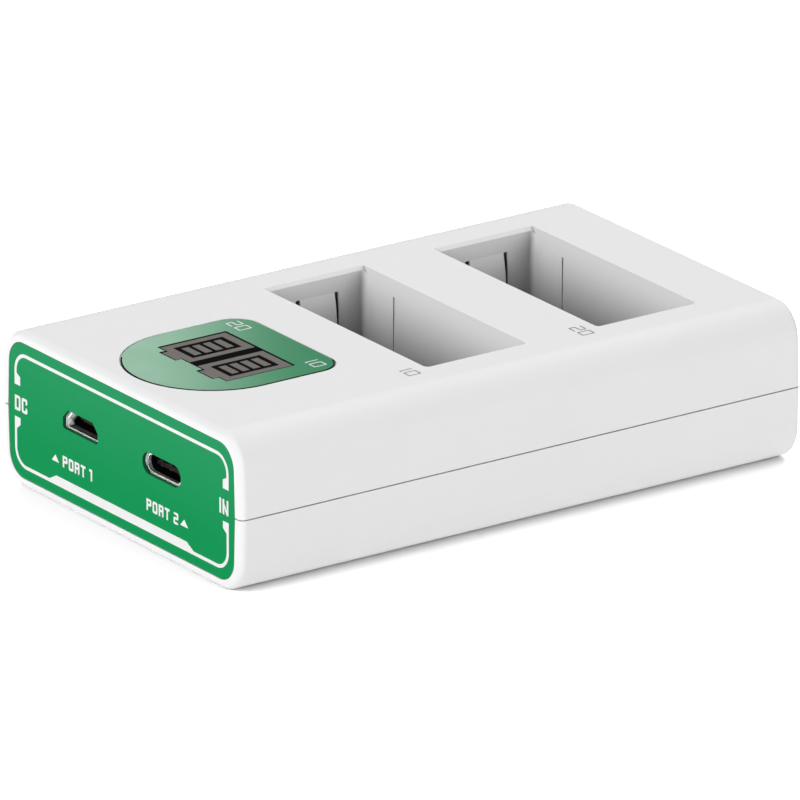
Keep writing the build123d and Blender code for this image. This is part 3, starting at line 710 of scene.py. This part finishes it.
deselect()
bpy.ops.mesh.primitive_plane_add(
    size=mm, location=Vector((rim_middle.x, rim_middle.y, window_face / mm)) * mm
)
rim = bpy.context.object
rim.scale = (rim_size.x, rim_size.y, 1)
bpy.ops.object.transform_apply(location=True, rotation=True, scale=True)
bpy.ops.object.mode_set(mode="EDIT")
bpy.ops.mesh.select_mode(type="VERT")
pick(lambda c: c.y > rim_middle.y)
bpy.ops.mesh.bevel(offset=rim_corner * mm, segments=8, affect="VERTICES")
pick(lambda c: c.y < window_low.y / mm + touch)
bpy.ops.mesh.bevel(offset=round_end * mm, segments=32, affect="VERTICES")
bpy.ops.mesh.select_all(action="SELECT")
bpy.ops.mesh.inset(thickness=rim_line * mm, use_even_offset=True)
bpy.ops.mesh.delete(type="FACE")
bpy.ops.mesh.select_mode(type="FACE")
pick_faces(lambda c: (c - rim_middle).dot(shade_side) < 0)
bpy.ops.mesh.delete(type="FACE")
bpy.ops.object.mode_set(mode="OBJECT")
# The line is painted shade in black ink.
lay_ink(rim, "window_rim", "display_black")

# %% [markdown]
# ### Letters
# Screen-printed words on such a panel are narrow block letters. The font that comes with Blender
# is round and light, so the letters are drawn here: a plane is cut into stems, bars and the
# counters between them, the counters are deleted, and the outer corners are rounded. Each letter
# is drawn once and copied wherever it is printed.

# %% Letter patterns
letter_cells = {
    "P": ("scs", ("###", "#.#", "###", "#..", "#..")),
    "O": ("scs", ("###", "#.#", "#.#", "#.#", "###")),
    "R": ("scs", ("###", "#.#", "###", "#.#", "#.#")),
    "T": ("hsh", ("###", ".#.", ".#.", ".#.", ".#.")),
    "D": ("scs", ("###", "#.#", "#.#", "#.#", "###")),
    "C": ("scs", ("###", "#.#", "#..", "#.#", "###")),
    "I": ("s", ("#", "#", "#", "#", "#")),
    "N": ("scs", ("###", "###", "###", "###", "###")),
    "0": ("scs", ("###", "#.#", "#.#", "#.#", "###")),
    "1": ("ss", ("##", ".#", ".#", ".#", ".#")),
    "2": ("scs", ("###", "..#", "###", "#..", "###")),
}
rounded_sides = {"O": "lr", "C": "lr", "0": "lr", "2": "lr", "D": "r", "P": "r", "R": "r"}
print("letters", "".join(letter_cells))


# %% Draw a letter
def edges_of(widths):
    """Places of the lines between cells of these widths."""
    places = [0.0]
    for width in widths:
        places.append(places[-1] + width)
    return places


def cut_diagonal(width, height, stroke):
    """Leave only a slanted bar between the two stems of an N."""
    band = 1.6 * stroke
    normal = (height - band, width - 2 * stroke, 0)
    for y in (band, 0):
        pick_faces(lambda c: stroke < c.x < width - stroke)
        corner = Vector((width - stroke, y, 0)) * mm
        bpy.ops.mesh.bisect(plane_co=corner, plane_no=normal)
    slope = (height - band) / (width - 2 * stroke)
    pick_faces(
        lambda c: stroke < c.x < width - stroke
        and not 0 < c.y - slope * (width - stroke - c.x) < band
    )
    bpy.ops.mesh.delete(type="FACE")


def draw_letter(letter, width, height, stroke):
    """Flat letter with its lower left corner at the origin, sizes in mm."""
    kinds, pattern = letter_cells[letter]
    column_width = {"s": stroke, "c": width - 2 * stroke, "h": (width - stroke) / 2}
    counter = (height - 3 * stroke) / 2
    columns = edges_of([column_width[kind] for kind in kinds])
    rows = edges_of([stroke, counter, stroke, counter, stroke])
    deselect()
    bpy.ops.mesh.primitive_plane_add(size=mm)
    flat = bpy.context.object
    flat.scale = (columns[-1], height, 1)
    flat.location = Vector((columns[-1] / 2, height / 2, 0)) * mm
    bpy.ops.object.transform_apply(location=True, rotation=True, scale=True)
    bpy.ops.object.mode_set(mode="EDIT")
    bpy.ops.mesh.select_mode(type="FACE")
    for x in columns[1:-1]:
        cut((x, 0, 0), (1, 0, 0))
    if letter == "N":
        cut_diagonal(width, height, stroke)
    else:
        for y in rows[1:-1]:
            cut((0, y, 0), (0, 1, 0))
        for row, cells in enumerate(reversed(pattern)):
            for column, cell in enumerate(cells):
                pick_faces(
                    lambda c: cell == "."
                    and columns[column] < c.x < columns[column + 1]
                    and rows[row] < c.y < rows[row + 1]
                )
                bpy.ops.mesh.delete(type="FACE")
    bpy.ops.mesh.select_mode(type="VERT")
    round_corners(rounded_sides.get(letter, ""), columns[-1], 0.8 * stroke)
    bpy.ops.object.mode_set(mode="OBJECT")
    return flat


def round_corners(sides, width, radius):
    """Round the outward corners on the left or right side of a letter."""
    mesh = bmesh.from_edit_mesh(bpy.context.edit_object.data)
    reach = {"l": 0.0, "r": width}
    for v in mesh.verts:
        outer = any(abs(v.co.x / mm - reach[side]) < touch for side in sides)
        v.select_set(outer and len(v.link_faces) == 1)
    mesh.select_flush(True)
    bmesh.update_edit_mesh(bpy.context.edit_object.data)
    if sides:
        bpy.ops.mesh.bevel(offset=radius * mm, segments=4, affect="VERTICES")


letter_stock = {}
print("letters are drawn when they are first needed")


# %% Set words
def copy_letter(letter, style):
    """Copy of a letter in a style, with its own mesh, drawn the first time it is needed."""
    key = (letter, style)
    if key not in letter_stock:
        letter_stock[key] = draw_letter(letter, *style)
    copy = letter_stock[key].copy()
    copy.data = copy.data.copy()
    bpy.context.collection.objects.link(copy)
    return copy


def join(flats):
    """Several flat shapes as one."""
    deselect()
    for flat in flats:
        flat.select_set(True)
    bpy.context.view_layer.objects.active = flats[0]
    bpy.ops.object.join()
    return bpy.context.object


def set_word(word, style, gap, start, turn):
    """Row of letters from a place in mm, turned to lie on its face."""
    flats = []
    x = 0.0
    for letter in word:
        if letter == " ":
            x += 2 * gap
            continue
        flat = copy_letter(letter, style)
        flat.location.x = x * mm
        flats.append(flat)
        x += flat.dimensions.x / mm + gap
    row = join(flats)
    bpy.ops.object.transform_apply(location=True, rotation=True, scale=True)
    row.rotation_euler = turn
    row.location = Vector(start) * mm
    bpy.ops.object.transform_apply(location=True, rotation=True, scale=True)
    return row


upright = (radians(90), 0, 0)
from_behind = (0, 0, radians(180))
print("words are set upright on the panel and read from behind on the top")

# %% [markdown]
# ### Words on the panel
# Plain words name the two ports, and two at the sides stand in the breaks of the border. They
# are set from the same letters in two sizes and joined, because one screen prints them all.

# %% Words on the panel
word_style = (1.2, 1.75, 0.36)  # width, height and stroke of a letter
side_style = (1.42, 2.25, 0.42)
panel_y = panel_face / mm
word_z, side_z = 6.22, 11.35  # feet of the letters
words = [
    set_word("PORT 1", word_style, 0.32, (-14.7, panel_y, word_z), upright),
    set_word("PORT 2", word_style, 0.32, (6.4, panel_y, word_z), upright),
    set_word("DC", side_style, 0.32, (-26.8, panel_y, side_z), upright),
    set_word("IN", side_style, 0.36, (24.55, panel_y, side_z), upright),
]
lay_ink(join(words), "port_words", "white_print")

# %% [markdown]
# ### Numbers
# Each bay has a number, and the window repeats both beside its display. They read from behind,
# where a hand puts the batteries in. Thin strokes keep them as light as engraved marks.

# %% Numbers on the window and by the bays
number_style = (1.6, 2.15, 0.22)
number_gap = 0.5
window_z, top_z = window_face / mm, top_face / mm
marks = [
    set_word("02", number_style, number_gap, (-7.6, -20.6, window_z), from_behind),
    set_word("01", number_style, number_gap, (11.0, -20.6, window_z), from_behind),
]
lay_ink(join(marks), "window_numbers", "white_print")
marks = [
    set_word("01", number_style, number_gap, (21.6, -11.8, top_z), from_behind),
    set_word("02", number_style, number_gap, (21.9, 18.0, top_z), from_behind),
]
lay_ink(join(marks), "bay_numbers", "grey_print")
for letter in letter_stock.values():
    bpy.data.objects.remove(letter)

# %% [markdown]
# ### Arrowheads
# A small triangle beside each word points up at its socket. A circle with three points is one,
# and a bevel takes the sharpness off its corners, as ink would.

# %% Arrowheads
arrow_height, arrow_z = 1.05, 7.05
arrows = []
for x, width in ((-16.55, 1.8), (15.8, 1.95)):
    deselect()
    bpy.ops.mesh.primitive_circle_add(vertices=3, radius=mm, fill_type="NGON")
    arrow = bpy.context.object
    bpy.ops.object.origin_set(type="ORIGIN_GEOMETRY", center="BOUNDS")
    arrow.scale = (width * mm / arrow.dimensions.x, arrow_height * mm / arrow.dimensions.y, 1)
    arrow.rotation_euler = upright
    arrow.location = Vector((x, panel_y, arrow_z)) * mm
    bpy.ops.object.transform_apply(location=True, rotation=True, scale=True)
    bpy.ops.object.mode_set(mode="EDIT")
    bpy.ops.mesh.select_all(action="SELECT")
    bpy.ops.mesh.bevel(offset=0.08 * mm, segments=2, affect="VERTICES")
    bpy.ops.object.mode_set(mode="OBJECT")
    arrows.append(arrow)
lay_ink(join(arrows), "port_arrows", "white_print")
